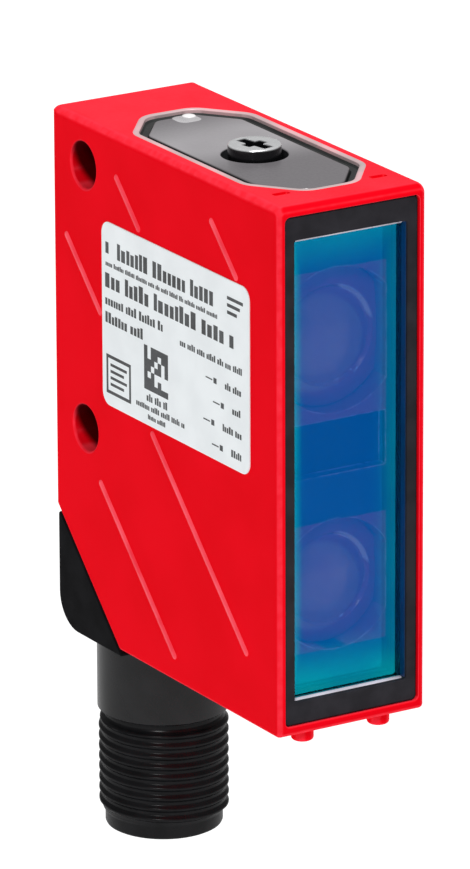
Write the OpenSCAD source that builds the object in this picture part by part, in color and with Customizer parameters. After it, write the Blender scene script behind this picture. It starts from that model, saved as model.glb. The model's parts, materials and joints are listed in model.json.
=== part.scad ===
// Compact photoelectric sensor: a flat rectangular housing with a lens window in front,
// an adjusting spindle on top and a turnable M12 connector at the lower back corner.
// -Y is the sensing direction, -X is the label side and +Z is up. The origin is midway
// between the two mounting holes, in the middle of the width.

/* [Housing] */
// Width of the housing
body_w = 15; // [15:0.1:15.4]
// Depth of the housing, from the sensing face to the back
body_d = 38; // [38:0.1:38.4]
// Height of the housing
body_h = 48; // [48:0.1:48.4]
// Thickness of the side walls
side_wall = 1.2; // [1.1:0.05:1.2]
// Thickness of the bottom wall
floor_wall = 1.5; // [1.3:0.1:1.5]
// Thickness of the roof
roof_wall = 2; // [1.9:0.05:2]
// Thickness of the back wall
back_wall = 1.4; // [1.2:0.1:1.6]
// Depth of the 45 degree cut at the lower back corner, along the back and the bottom
corner_cut = 10.9; // [10.7:0.1:11.1]
// Thickness of the wall behind the 45 degree face
slant_wall = 2.2; // [2:0.1:2.4]
// Radius of the rounded vertical edges
edge_round = 0.6; // [0.4:0.1:0.9]
// Radius of the rounded top edges at the front and the sides
top_round = 0.9; // [0.6:0.1:1.2]
// Radius of the rounded top edge at the back
back_round = 0.6; // [0.4:0.1:1.6]

/* [Mounting holes] */
// Distance between the two mounting holes
hole_pitch = 24.4; // [24.2:0.1:24.6]
// Radius of a mounting hole, clear for an M4 screw
hole_r = 2.1; // [2.1:0.05:2.25]
// Distance from the holes to the back face
hole_back = 5.3; // [5.2:0.1:5.5]
// Distance from the upper hole to the top face
hole_top = 4.3; // [4.2:0.1:4.5]
// Outer radius of the tube around a mounting hole
tube_r = 3.3; // [3.1:0.1:3.4]
// Width across the flats of the nut pocket
nut_flats = 7.1; // [7:0.05:7.2]
// Depth of the nut pocket
nut_depth = 3.4; // [3.2:0.1:3.6]
// Outer radius of the boss around a nut pocket
boss_r = 4.8; // [4.7:0.1:4.9]

/* [Front window] */
// Width of the black frame
frame_w = 13.5; // [13.3:0.1:13.5]
// Height of the black frame
frame_h = 46; // [45.8:0.1:46]
// Clear width of the frame
view_w = 11.1; // [10.8:0.1:11.2]
// Clear height of the frame
view_h = 41.75; // [41.5:0.05:41.8]
// How far the frame lies behind the front edges of the housing
frame_set_back = 0.25; // [0.1:0.05:0.3]
// How far the glass lies behind the front edges of the housing
glass_depth = 1.3; // [1.2:0.05:1.3]
// Thickness of the glass
glass_t = 1; // [0.9:0.05:1]

/* [Lenses] */
// Height of the receiver lens axis above the bottom face
receiver_h = 34.4; // [34.2:0.1:34.6]
// Radius of the receiver lens
receiver_r = 6.5; // [6.3:0.1:6.5]
// Height of the emitter lens axis above the bottom face
emitter_h = 12.2; // [12.1:0.1:12.3]
// Radius of the emitter lens
emitter_r = 5.9; // [5.7:0.1:5.9]
// Width to which both lenses are trimmed
lens_w = 10; // [9.6:0.1:10]

/* [Operating window] */
// Width of the opening in the roof
window_w = 12.2; // [12:0.1:12.2]
// Length of the opening in the roof
window_l = 27.4; // [27.2:0.1:27.5]
// Distance from the front face to the opening
window_front = 3.3; // [3.2:0.1:3.6]
// Length of the slanted corners across the width
corner_across = 3.5; // [3.4:0.1:4]
// Length of the slanted corners along the depth
corner_along = 4.4; // [4.2:0.1:4.6]
// Rounding of the window's corners
window_round = 2.4; // [1.6:0.2:2.8]

/* [Adjusting spindle] */
// Distance from the front face to the spindle
spindle_depth = 16; // [15.9:0.1:16.1]
// Radius of the slotted head
head_r = 2.35; // [2.2:0.05:2.4]
// Height of the head's top above the bottom face
head_top = 48.7; // [48.6:0.1:48.9]
// Width of the screwdriver slot
slot_w = 0.9; // [0.7:0.1:1]
// Angle of the slot to the sensing direction
slot_turn = 12; // [0:1:90]
// Radius of the threaded stretch
screw_r = 1.25; // [1.2:0.01:1.25]

/* [Connector] */
// Distance from the front face to the connector axis
plug_depth = 32; // [31.9:0.1:32.1]
// Radius of the neck below the elbow
neck_r = 6; // [5.9:0.05:6]
// Radius over the M12 thread
thread_r = 5.9; // [5.85:0.01:5.9]
// Distance from the bottom face down to the end of the neck
neck_end = 8.1; // [8:0.1:8.3]
// Width of the relief groove between the neck and the thread
relief_w = 0.55; // [0.55:0.05:0.7]
// Distance from the bottom face down to the end of the thread
thread_end = 17.9; // [17.7:0.1:18]
// Distance from the bottom face down to the end of the connector
plug_end = 19.3; // [19.2:0.1:19.5]
// Radius of the socket inside the thread
socket_r = 4.4; // [4.3:0.05:4.4]
// Number of contact pins
pin_count = 4; // [3:1:5]
// Radius of the circle on which the pins stand
pin_circle_r = 2.5; // [2.4:0.05:2.5]
// Radius of a contact pin
pin_r = 0.5; // [0.4:0.05:0.5]

/* [Fits] */
// Radial clearance of a turning or sliding fit
running = 0.05; // [0.03:0.01:0.06]
// Clearance between the elbow and the 45 degree face
swivel_gap = 0.25; // [0.2:0.01:0.3]

/* [Hidden] */
$fn = 64;

// How far a cutting shape runs past the face that it cuts
over = 1;
// A gap that keeps two touching pieces of one body apart
touch = 0.05;

// Y of the front face and Z of the bottom face
y_front = hole_back - body_d;
z_bottom = hole_pitch / 2 + hole_top - body_h;
// Heights of the two mounting holes above the bottom face
hole_heights = [body_h - hole_top, body_h - hole_top - hole_pitch];
hole_depth = body_d - hole_back;
inner_w = body_w - 2 * side_wall;
roof_under = body_h - roof_wall;

// The front frame and what sits in it
frame_base = (body_h - frame_h) / 2 - 0.05;
view_base = frame_base + (frame_h - view_h) / 2;
frame_back = 2.6;
glass_w = view_w + 1.1;
glass_h = view_h + 1.1;
glass_base = view_base - 0.55;

// The optics carrier
carrier_w = inner_w - 0.4;
carrier_front = frame_back + touch;
carrier_back = 21;
carrier_base = floor_wall + 0.2;
carrier_top = 44.9;
lens_seat = 5.6;
lens_apex = 3;
lens_edge = 4.6;

// The receiver carriage and its bay in the carrier
carriage_w = 8.8;
carriage_h = 5;
carriage_front = 13.4;
carriage_back = 19.6;
bay_w = 10;
bay_front = 12.8;
bay_floor = 28;
bay_roof = 42;
rod_r = 0.6;
rod_x = 3.2;

// The operating window
cover_top = body_h - 0.25;
cover_under = roof_under + 0.65;
ledge_inset = 1.3;
seal_inset = 0.45;
lip_top = body_h;
cover_bore_r = 2.95;

// The spindle, from its head downwards
head_under = 47.25;
neck_spindle_r = 1.6;
clip_top = 44.75;
clip_t = 0.4;
bush_flange_under = carrier_top + touch;
bush_flange_top = roof_under - touch;
bush_top = 46.28;
spindle_journal_r = 0.8;
spindle_shoulder = 28.1;
spindle_end = 25.9;

// The boards
board_front = 24;
board_back = 25;
display_under = 43;
display_top = 43.8;
led_depth = 27.6;
screw_height = 24.5;
screw_x = 4.3;

// The 45 degree face: height = depth - slant
slant = body_d - corner_cut;
// The swivel axis leaves this face at its middle, and it crosses the connector axis
face_mid_depth = body_d - corner_cut / 2;
face_mid_height = corner_cut / 2;
plug_cross_height = body_d - plug_depth;
spigot_r = 4.45;
spigot_in = slant_wall + 1.75;
channel_r = 2.2;
elbow_w = body_w - 0.2;
elbow_back = body_d - 0.15;
elbow_under = -0.65;
elbow_round = 3.2;
contact_bore_r = 4.9;
relief_r = 5.4;
thread_start = neck_end + relief_w;
contact_bore_top = -2;
insert_face = -8.3;
insert_flange_under = -5.9;
insert_flange_top = -4;
pin_tip = -14.95;
pin_top = -3.3;
wire_r = 0.35;
wire_circle_r = 0.75;

// Diagonal ribs on the label side: each is the number of its line, then the depths of its ends
side_ribs = [[0, 18.3, 30], [1, 5.4, 21], [1, 29.9, 35.6], [2, 23.2, 26.9], [3, 6.9, 10.9]];
rib_pitch = 16.1;
rib_first = -15.1;
rib_w = 0.4;
rib_t = 0.15;

label_t = 0.1;
label_depths = [4.6, 29.4];
label_heights = [22.9, 39.4];

// Y of a point this far behind the front face
function depth(d) = y_front + d;
// Z of a point this far above the bottom face
function height(h) = z_bottom + h;

// ---- Shared shapes ----

// The tip of a square corner that opens towards +x and +y, outside a round of radius r
module corner_tip(r) {
    difference() {
        translate([-over, -over]) square(r + over);
        translate([r, r]) circle(r);
    }
}

// A rectangle between two points, with true arcs at its corners
module rounded_rect(low, high, r) {
    corners = [[low[0], low[1], 0], [high[0], low[1], 90], [high[0], high[1], 180], [low[0], high[1], 270]];
    difference() {
        translate(low) square(high - low);
        for (c = corners) translate([c[0], c[1]]) rotate(c[2]) corner_tip(r);
    }
}

// A depth-height outline, drawn across the width
module across(w, x = 0) {
    translate([x - w / 2, y_front, z_bottom]) rotate([90, 0, 90]) linear_extrude(w) children();
}

// A width-height outline, drawn from one depth to another
module along_depth(d0, d1) {
    translate([0, depth(d1), z_bottom]) rotate([90, 0, 0]) linear_extrude(d1 - d0) children();
}

// A width-depth outline, drawn from one height to another
module upward(h0, h1) {
    translate([0, y_front, height(h0)]) linear_extrude(h1 - h0) children();
}

// A block centred on the width
module block(w, d0, d1, h0, h1) {
    translate([-w / 2, depth(d0), height(h0)]) cube([w, d1 - d0, h1 - h0]);
}

// A rod along the width
module rod_across(r, x0, x1, d, h) {
    translate([x0, depth(d), height(h)]) rotate([0, 90, 0]) cylinder(h = x1 - x0, r = r);
}

// A rod along the depth
module rod_inward(r, x, h, d0, d1) {
    translate([x, depth(d0), height(h)]) rotate([-90, 0, 0]) cylinder(h = d1 - d0, r = r);
}

// An upright rod
module rod_up(r, x, d, h0, h1) {
    translate([x, depth(d), height(h0)]) cylinder(h = h1 - h0, r = r);
}

// A ring of round section around an upright axis
module o_ring(ring_r, section_r) {
    rotate_extrude() translate([ring_r, 0]) circle(section_r);
}

// Places its children on the swivel axis: z runs into the housing, from the 45 degree face
module on_swivel() {
    translate([0, depth(face_mid_depth), height(face_mid_height)]) rotate([45, 0, 0]) children();
}

// A chain of straight wire pieces with round joints
module wire(points) {
    for (i = [1 : len(points) - 1]) {
        hull() {
            translate(points[i - 1]) sphere(wire_r, $fn = 10);
            translate(points[i]) sphere(wire_r, $fn = 10);
        }
    }
}

// ---- Housing and its outside ----

module side_outline() {
    difference() {
        polygon([[0, 0], [slant, 0], [body_d, corner_cut], [body_d, body_h], [0, body_h]]);
        corner_tip(edge_round);
        translate([0, body_h]) rotate(270) corner_tip(top_round);
        translate([body_d, body_h]) rotate(180) corner_tip(back_round);
    }
}

module housing_outside() {
    intersection() {
        across(body_w) side_outline();
        upward(-over, body_h + over)
            rounded_rect([-body_w / 2, 0], [body_w / 2, body_d], edge_round);
        along_depth(-over, body_d + over)
            rounded_rect([-body_w / 2, 0], [body_w / 2, body_h], top_round);
    }
}

module housing_cavity() {
    inner_slant = slant - slant_wall * sqrt(2);
    inner_back = body_d - back_wall;
    difference() {
        across(inner_w) polygon([
            [frame_back - over, floor_wall],
            [inner_slant + floor_wall, floor_wall],
            [inner_back, inner_back - inner_slant],
            [inner_back, roof_under],
            [frame_back - over, roof_under]
        ]);
        for (h = hole_heights) {
            rod_across(tube_r, -body_w / 2, body_w / 2, hole_depth, h);
            rod_across(boss_r, body_w / 2 - nut_depth - 1.2, body_w / 2, hole_depth, h);
        }
    }
}

module window_shape(inset) {
    w = window_w / 2;
    c = w - corner_across;
    back = window_front + window_l;
    offset(delta = -inset) offset(r = window_round, $fn = 40) offset(delta = -window_round) polygon([
        [-c, window_front], [c, window_front], [w, window_front + corner_along],
        [w, back - corner_along], [c, back], [-c, back],
        [-w, back - corner_along], [-w, window_front + corner_along]
    ]);
}

module mounting_bore(h) {
    chamfer = 0.35;
    rod_across(hole_r, -body_w / 2 - over, body_w / 2 + over, hole_depth, h);
    translate([-body_w / 2, depth(hole_depth), height(h)]) rotate([0, 90, 0]) rotate_extrude()
        polygon([[0, -over], [hole_r + chamfer + over, -over], [hole_r, chamfer], [0, chamfer]]);
    translate([body_w / 2 - nut_depth, depth(hole_depth), height(h)]) rotate([0, 90, 0])
        rotate(90) cylinder(h = nut_depth + over, r = nut_flats / sqrt(3), $fn = 6);
}

module side_rib(line, d0, d1) {
    offset_up = rib_first + rib_pitch * line;
    length = (d1 - d0) * sqrt(2);
    translate([-body_w / 2 - rib_t, depth(d0), height(d0 + offset_up)]) rotate([45, 0, 0]) {
        translate([0, 0, -rib_w / 2]) cube([2 * rib_t, length, rib_w]);
        for (y = [0, length]) translate([0, y, 0]) rotate([0, 90, 0]) cylinder(h = 2 * rib_t, r = rib_w / 2);
    }
}

module bottom_pegs() {
    peg_x = 3.9;
    peg_depth = 2;
    for (x = [-peg_x, peg_x]) rod_up(1, x, peg_depth, -1.2, 0.5);
    block(2 * peg_x, peg_depth - 0.4, peg_depth + 0.4, -0.4, 0.5);
}

module housing() color("#e20a1c") {
    notch = [1.6, 0.7, 0.35];
    notch_x = 4.9;
    difference() {
        housing_outside();
        housing_cavity();
        along_depth(-over, frame_back) rounded_rect(
            [-frame_w / 2 - touch, frame_base - touch],
            [frame_w / 2 + touch, frame_base + frame_h + touch], 0.5);
        upward(cover_under - touch, body_h + over) window_shape(0);
        upward(roof_under - over, body_h) window_shape(ledge_inset);
        for (h = hole_heights) mounting_bore(h);
        on_swivel() translate([0, 0, -over]) cylinder(h = slant_wall + 2 * over, r = spigot_r + running);
        for (x = [-notch_x, notch_x])
            translate([x - notch[0] / 2, depth(3.4), height(body_h) - notch[2]])
                cube([notch[0], notch[1], over]);
    }
    for (rib = side_ribs) side_rib(rib[0], rib[1], rib[2]);
    bottom_pegs();
}

module type_label() color("#dce4e8") {
    translate([-(body_w + label_t) / 2 - 0.01, 0, 0]) across(label_t)
        rounded_rect([label_depths[0], label_heights[0]], [label_depths[1], label_heights[1]], 1.2);
}

// ---- Front window ----

module front_frame() color("#26262b") {
    pocket = touch / 2;
    difference() {
        along_depth(frame_set_back, frame_back)
            rounded_rect([-frame_w / 2, frame_base], [frame_w / 2, frame_base + frame_h], 0.45);
        along_depth(-over, frame_back + over)
            rounded_rect([-view_w / 2, view_base], [view_w / 2, view_base + view_h], 0.25);
        block(glass_w + 2 * pocket, glass_depth, frame_back + over,
            glass_base - pocket, glass_base + glass_h + pocket);
    }
}

module front_glass() color("#1d5c96", 0.5) {
    block(glass_w, glass_depth + 0.01, glass_depth + glass_t, glass_base, glass_base + glass_h);
}

// A bead of adhesive behind the edge of the glass
module glass_seal() color("#1a1a1a") {
    bead_w = 0.6;
    start = glass_depth + glass_t + 0.01;
    difference() {
        block(glass_w, start, frame_back, glass_base, glass_base + glass_h);
        block(glass_w - 2 * bead_w, start - over, frame_back + over,
            glass_base + bead_w, glass_base + glass_h - bead_w);
    }
}

// ---- Optics ----

module lens_seat_cut(r, h) {
    intersection() {
        rod_inward(r + touch, 0, h, carrier_front - over, lens_seat);
        block(lens_w + 2 * touch, carrier_front - over, lens_seat, h - r - over, h + r + over);
    }
}

module optics_carrier() color("#1c1c20") {
    light_w = 9.2;
    difference() {
        block(carrier_w, carrier_front, carrier_back, carrier_base, carrier_top);
        lens_seat_cut(receiver_r, receiver_h);
        lens_seat_cut(emitter_r, emitter_h);
        // Recess in the bar between the lenses
        block(lens_w, carrier_front - over, carrier_front + 1, 22.3, 27.2);
        // Light path and carriage bay of the receiver
        block(light_w, lens_seat - over, bay_front + over, receiver_h - 5.8, receiver_h + 5.8);
        block(bay_w, bay_front, carrier_back + over, bay_floor, bay_roof);
        for (x = [-rod_x, rod_x]) rod_up(rod_r + 0.02, x, spindle_depth, bay_floor - 1.1, bay_roof + 1.1);
        // Spindle passage with its clip pocket above and its end bearing below
        rod_up(screw_r + 0.2, 0, spindle_depth, bay_roof - over, carrier_top);
        rod_up(3.2, 0, spindle_depth, clip_top - clip_t - 0.5, carrier_top + over);
        rod_up(spindle_journal_r + running, 0, spindle_depth, spindle_end - 0.3, bay_floor + over);
        // Light path, lamp hole and board pocket of the emitter
        rod_inward(4.5, 0, emitter_h, lens_seat - over, 13);
        rod_inward(1.6, 0, emitter_h, 13 - over, carrier_back);
        block(9, 17.95, carrier_back + over, emitter_h - 4.9, emitter_h + 4.9);
    }
    // Posts that carry the main board
    for (x = [-screw_x, screw_x]) difference() {
        rod_inward(1.5, x, screw_height, carrier_back - 0.5, board_front - touch);
        rod_inward(0.75, x, screw_height, carrier_back - 0.4, board_front + over);
    }
}

// A plano-convex lens with a flat rim, trimmed at both sides
module lens(r, h) {
    cap = lens_edge - lens_apex;
    sphere_r = (r * r + cap * cap) / (2 * cap);
    thickness = lens_seat - lens_apex;
    intersection() {
        translate([0, depth(lens_seat), height(h)]) rotate([90, 0, 0]) rotate_extrude($fn = 200)
            intersection() {
                square([r, thickness]);
                translate([0, thickness - sphere_r]) circle(sphere_r, $fn = 360);
            }
        block(lens_w, lens_apex - over, lens_seat, h - r - over, h + r + over);
    }
}

module receiver_lens() color("#6a63b8", 0.6) {
    lens(receiver_r, receiver_h);
}

module emitter_lens() color("#6a63b8", 0.6) {
    lens(emitter_r, emitter_h);
}

module emitter_led() color("#c8474f", 0.8) {
    rod_inward(1.5, 0, emitter_h, 15, 17.9);
    translate([0, depth(15), height(emitter_h)]) sphere(1.5);
}

module emitter_board() color("#1f6b3a") {
    block(8.8, 18, 18.8, emitter_h - 4.8, emitter_h + 4.8);
}

module guide_rods() color("#b9bcc0") {
    for (x = [-rod_x, rod_x]) rod_up(rod_r, x, spindle_depth, bay_floor - 1, bay_roof + 1);
}

module receiver_carriage() color("#34343a") {
    base = receiver_h - carriage_h / 2;
    top = receiver_h + carriage_h / 2;
    difference() {
        block(carriage_w, carriage_front, carriage_back, base, top);
        rod_up(screw_r + running, 0, spindle_depth, base - over, top + over);
        for (x = [-rod_x, rod_x]) rod_up(rod_r + running, x, spindle_depth, base - over, top + over);
    }
}

module photodiode() color("#17171a") {
    block(4.4, carriage_front - 1.2, carriage_front, receiver_h - 2.2, receiver_h + 2.2);
    rod_inward(1.3, 0, receiver_h, carriage_front - 1.5, carriage_front - 1);
}

// Flexible strip that joins the carriage to the main board in a hanging loop
module detector_flex() color("#b5772a") {
    strip_t = 0.15;
    near = carriage_back + 0.02;
    far = board_front - 0.02;
    mid = (near + far) / 2;
    loop_r = (far - near) / 2;
    loop_h = receiver_h - 1.5;
    across(3.2) {
        difference() {
            translate([mid, loop_h]) circle(loop_r);
            translate([mid, loop_h]) circle(loop_r - strip_t);
            translate([near - over, loop_h]) square([2 * loop_r + 2 * over, loop_r + over]);
        }
        translate([near, loop_h - 0.01]) square([strip_t, 3]);
        translate([far - strip_t, loop_h - 0.01]) square([strip_t, 3]);
    }
}

// ---- Adjusting spindle ----

module adjusting_spindle() color("#a9abae") {
    slot_depth = 0.8;
    difference() {
        union() {
            rod_up(head_r, 0, spindle_depth, head_under, head_top - 0.2);
            rod_up(head_r - 0.2, 0, spindle_depth, head_under, head_top);
            rod_up(neck_spindle_r, 0, spindle_depth, clip_top - clip_t - 0.3, head_under + 0.1);
            rod_up(screw_r, 0, spindle_depth, spindle_shoulder, clip_top);
            rod_up(spindle_journal_r, 0, spindle_depth, spindle_end, spindle_shoulder + 0.1);
        }
        // Groove of the retaining clip
        difference() {
            rod_up(neck_spindle_r + 0.2, 0, spindle_depth, clip_top - clip_t, clip_top);
            rod_up(screw_r, 0, spindle_depth, clip_top - clip_t - over, clip_top + over);
        }
        translate([0, depth(spindle_depth), height(head_top)]) rotate(slot_turn) {
            translate([-slot_w / 2, -head_r - over, -slot_depth])
                cube([slot_w, 2 * head_r + 2 * over, slot_depth + over]);
            translate([-1.2, -slot_w / 2, -slot_depth]) cube([2.4, slot_w, slot_depth + over]);
        }
    }
}

module spindle_clip() color("#8d9094") {
    difference() {
        rod_up(2.6, 0, spindle_depth, clip_top - clip_t + 0.02, clip_top - 0.02);
        rod_up(screw_r + 0.02, 0, spindle_depth, clip_top - over, clip_top + over);
        translate([-0.9, depth(spindle_depth), height(clip_top - over)]) cube([1.8, 5, 2 * over]);
    }
}

module spindle_seal() color("#151515") {
    section_r = 0.42;
    translate([0, depth(spindle_depth), height(bush_top + section_r + 0.02)])
        o_ring(neck_spindle_r + running + section_r, section_r);
}

module spindle_bush() color("#1b1b1d") {
    difference() {
        union() {
            rod_up(3.8, 0, spindle_depth, bush_flange_under, bush_flange_top);
            rod_up(cover_bore_r - touch, 0, spindle_depth, bush_flange_under, bush_top);
        }
        rod_up(neck_spindle_r + running, 0, spindle_depth, bush_flange_under - over, bush_top + over);
    }
}

// ---- Operating window, boards and lamps ----

module operating_window() color("#9a9aa0", 0.85) {
    difference() {
        union() {
            upward(cover_under, cover_top) window_shape(seal_inset);
            upward(roof_under, cover_under + 0.1) window_shape(ledge_inset + 0.1);
        }
        rod_up(cover_bore_r, 0, spindle_depth, roof_under - over, cover_top + over);
    }
}

module window_seal() color("#b4aeae") {
    difference() {
        upward(cover_under, lip_top) window_shape(0.03);
        upward(cover_under - over, lip_top + over) window_shape(seal_inset - 0.02);
    }
}

module display_board() color("#1f6b3a") {
    translate([-5.7, depth(board_back + 0.1), height(display_under)])
        cube([8.1, 3.9, display_top - display_under]);
}

module status_lamp(x) {
    translate([x - 0.8, depth(led_depth - 0.6), height(display_top)]) cube([1.6, 1.2, 0.7]);
}

module green_led() color("#47b85a") {
    status_lamp(-3.2);
}

module yellow_led() color("#e2b13c") {
    status_lamp(0.4);
}

module light_guide() color("#d8dde0", 0.7) {
    for (x = [-3.2, 0.4]) rod_up(0.9, x, led_depth, display_top + 0.8, 45.6);
    translate([-4.4, depth(led_depth - 1.1), height(45.4)]) cube([6, 2.2, roof_under - touch - 45.4]);
}

module main_board() color("#1f6b3a") {
    difference() {
        block(carrier_w - 0.2, board_front, board_back, 5, 45.4);
        for (x = [-screw_x, screw_x]) rod_inward(0.8, x, screw_height, board_front - over, board_back + over);
    }
}

module board_chips() color("#202024") {
    block(6, board_back, board_back + 1.1, 32, 38);
    block(3.2, board_back, board_back + 0.9, 27.5, 30);
    for (x = [-4.6, 4.6], h = [29, 31.5, 34, 36.5])
        translate([x - 0.5, depth(board_back), height(h)]) cube([1, 0.7, 1.8]);
    for (x = [-3.5 : 1.75 : 3.5])
        translate([x - 0.4, depth(board_front - 0.7), height(19.5)]) cube([0.8, 0.7, 1.6]);
}

module board_screws() color("#b4b6b9") {
    for (x = [-screw_x, screw_x]) difference() {
        union() {
            rod_inward(0.7, x, screw_height, carrier_back, board_back + 0.1);
            rod_inward(1.4, x, screw_height, board_back + 0.01, board_back + 0.9);
        }
        translate([x - 0.2, depth(board_back + 0.5), height(screw_height - 2)]) cube([0.4, over, 4]);
    }
}

// ---- Turnable connector ----

// A point on the circle of wires around the swivel axis, this far into the housing
function swivel_wire(a, along) = [
    wire_circle_r * cos(a),
    depth(face_mid_depth) + (wire_circle_r * sin(a) - along) / sqrt(2),
    height(face_mid_height) + (wire_circle_r * sin(a) + along) / sqrt(2)
];
// A point on a circle around the connector axis
function plug_point(a, r, h) = [r * cos(a), depth(plug_depth) + r * sin(a), height(h)];
function wire_angle(i) = 45 + 90 * i;

module below_slant(gap) {
    line = slant + gap * sqrt(2);
    reach = 40;
    across(2 * body_w)
        polygon([[line - reach, -reach], [body_d + reach, -reach], [body_d + reach, body_d + reach - line]]);
}

module connector_elbow() color("#1e1e21") {
    line = slant + swivel_gap * sqrt(2);
    difference() {
        union() {
            intersection() {
                union() {
                    intersection() {
                        across(elbow_w) difference() {
                            polygon([[line + elbow_under - 2, elbow_under], [elbow_back, elbow_under],
                                [elbow_back, elbow_back - line + 2]]);
                            translate([elbow_back, elbow_under]) rotate(90) corner_tip(elbow_round);
                        }
                        upward(elbow_under - over, corner_cut + over)
                            rounded_rect([-elbow_w / 2, slant - 4], [elbow_w / 2, elbow_back], 0.5);
                    }
                    rod_up(neck_r, 0, plug_depth, -neck_end, 2);
                }
                below_slant(swivel_gap);
            }
            on_swivel() translate([0, 0, -2]) cylinder(h = spigot_in + 2, r = spigot_r);
        }
        // Grooves of the seal and of the retaining clip
        on_swivel() translate([0, 0, slant_wall / 2 - 0.45]) ring_cut(spigot_r - 0.6, 0.9);
        on_swivel() translate([0, 0, slant_wall + 0.75]) ring_cut(spigot_r - 0.5, 0.5);
        // Wire channel and the seat of the contacts
        on_swivel() translate([0, 0, 0.4]) cylinder(h = spigot_in + over, r = channel_r);
        rod_up(channel_r, 0, plug_depth, contact_bore_top - over, plug_cross_height);
        rod_up(contact_bore_r, 0, plug_depth, -neck_end - over, contact_bore_top);
    }
}

// Everything outside radius r, over a length h
module ring_cut(r, h) {
    difference() {
        cylinder(h = h, r = r + 3);
        translate([0, 0, -over]) cylinder(h = h + 2 * over, r = r);
    }
}

module swivel_seal() color("#151515") {
    section_r = 0.3;
    on_swivel() translate([0, 0, slant_wall / 2]) o_ring(spigot_r - section_r, section_r);
}

module swivel_washer() color("#cfd2d6") {
    on_swivel() translate([0, 0, slant_wall + 0.1]) difference() {
        cylinder(h = 0.5, r = 5.6);
        translate([0, 0, -over]) cylinder(h = 2 * over + 0.5, r = spigot_r + 0.03);
    }
}

module swivel_clip() color("#8d9094") {
    on_swivel() translate([0, 0, slant_wall + 0.77]) difference() {
        cylinder(h = 0.46, r = 5.2);
        translate([0, 0, -over]) cylinder(h = 2 * over + 0.5, r = spigot_r - 0.48);
        translate([-1.2, 0, -over]) cube([2.4, 6, 2 * over + 0.5]);
    }
}

module threaded_sleeve() color("#1a1a1c") {
    end_r = 5.35;
    inner = socket_r;
    translate([0, depth(plug_depth), z_bottom]) rotate_extrude() polygon([
        [inner, -plug_end], [end_r - 0.3, -plug_end], [end_r, -plug_end + 0.3],
        [end_r, -thread_end - 0.5], [thread_r, -thread_end], [thread_r, -thread_start],
        [relief_r, -thread_start], [relief_r, -neck_end - 0.02], [contact_bore_r - touch, -neck_end - 0.02],
        [contact_bore_r - touch, insert_flange_under - 0.02], [inner, insert_flange_under - 0.02]
    ]);
    // Coding key inside the socket
    translate([-0.5, depth(plug_depth) + socket_r - 0.55, height(1 - plug_end)])
        cube([1, 0.7, plug_end + insert_face - 1.05]);
}

module contact_carrier() color("#2b2b2f") {
    difference() {
        union() {
            rod_up(socket_r - touch, 0, plug_depth, insert_face, insert_flange_top);
            rod_up(contact_bore_r - touch, 0, plug_depth, insert_flange_under, insert_flange_top);
        }
        for (i = [0 : pin_count - 1]) {
            a = wire_angle(0) + 360 / pin_count * i;
            rod_up(pin_r + 0.02, pin_circle_r * cos(a), plug_depth + pin_circle_r * sin(a),
                insert_face - over, 0);
        }
    }
}

module carrier_seal() color("#151515") {
    section_r = 0.5;
    translate([0, depth(plug_depth), height(insert_flange_top + section_r + 0.02)])
        o_ring(contact_bore_r - section_r - touch, section_r);
}

module contact_pins() color("#d9b65a") {
    for (i = [0 : pin_count - 1]) {
        a = wire_angle(0) + 360 / pin_count * i;
        x = pin_circle_r * cos(a);
        d = plug_depth + pin_circle_r * sin(a);
        rod_up(pin_r, x, d, pin_tip + pin_r, pin_top);
        translate([x, depth(d), height(pin_tip + pin_r)]) sphere(pin_r);
    }
}

module connector_leads() color("#8a5a2b") {
    for (i = [0 : 3]) {
        a = wire_angle(i);
        wire([
            plug_point(a, pin_circle_r, pin_top + wire_r + touch),
            plug_point(a, 1.5, contact_bore_top - 0.1),
            plug_point(a, wire_circle_r, 0),
            plug_point(a, wire_circle_r, plug_cross_height - 2.2),
            swivel_wire(a, 2.1),
            swivel_wire(a, spigot_in)
        ]);
    }
}

module board_leads() color("#8a5a2b") {
    for (i = [0 : 3]) {
        a = wire_angle(i);
        end_x = (cos(a) > 0 ? 1.2 : -1.2) + (sin(a) > 0 ? -0.6 : 0.6) * sign(cos(a));
        wire([
            swivel_wire(a, spigot_in + 2 * wire_r + 0.1),
            swivel_wire(a, spigot_in + 2.2),
            [end_x, depth(board_back + 2.4), height(14)],
            [end_x, depth(board_back + wire_r + touch), height(16)]
        ]);
    }
}

housing();
type_label();
front_frame();
front_glass();
glass_seal();
optics_carrier();
receiver_lens();
emitter_lens();
emitter_led();
emitter_board();
guide_rods();
receiver_carriage();
photodiode();
detector_flex();
adjusting_spindle();
spindle_clip();
spindle_seal();
spindle_bush();
operating_window();
window_seal();
display_board();
green_led();
yellow_led();
light_guide();
main_board();
board_chips();
board_screws();
board_leads();
connector_elbow();
swivel_seal();
swivel_washer();
swivel_clip();
threaded_sleeve();
contact_carrier();
carrier_seal();
contact_pins();
connector_leads();
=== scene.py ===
import json
import math
import random
from functools import reduce

import bmesh
import bpy
from mathutils import Matrix, Quaternion, Vector


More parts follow.
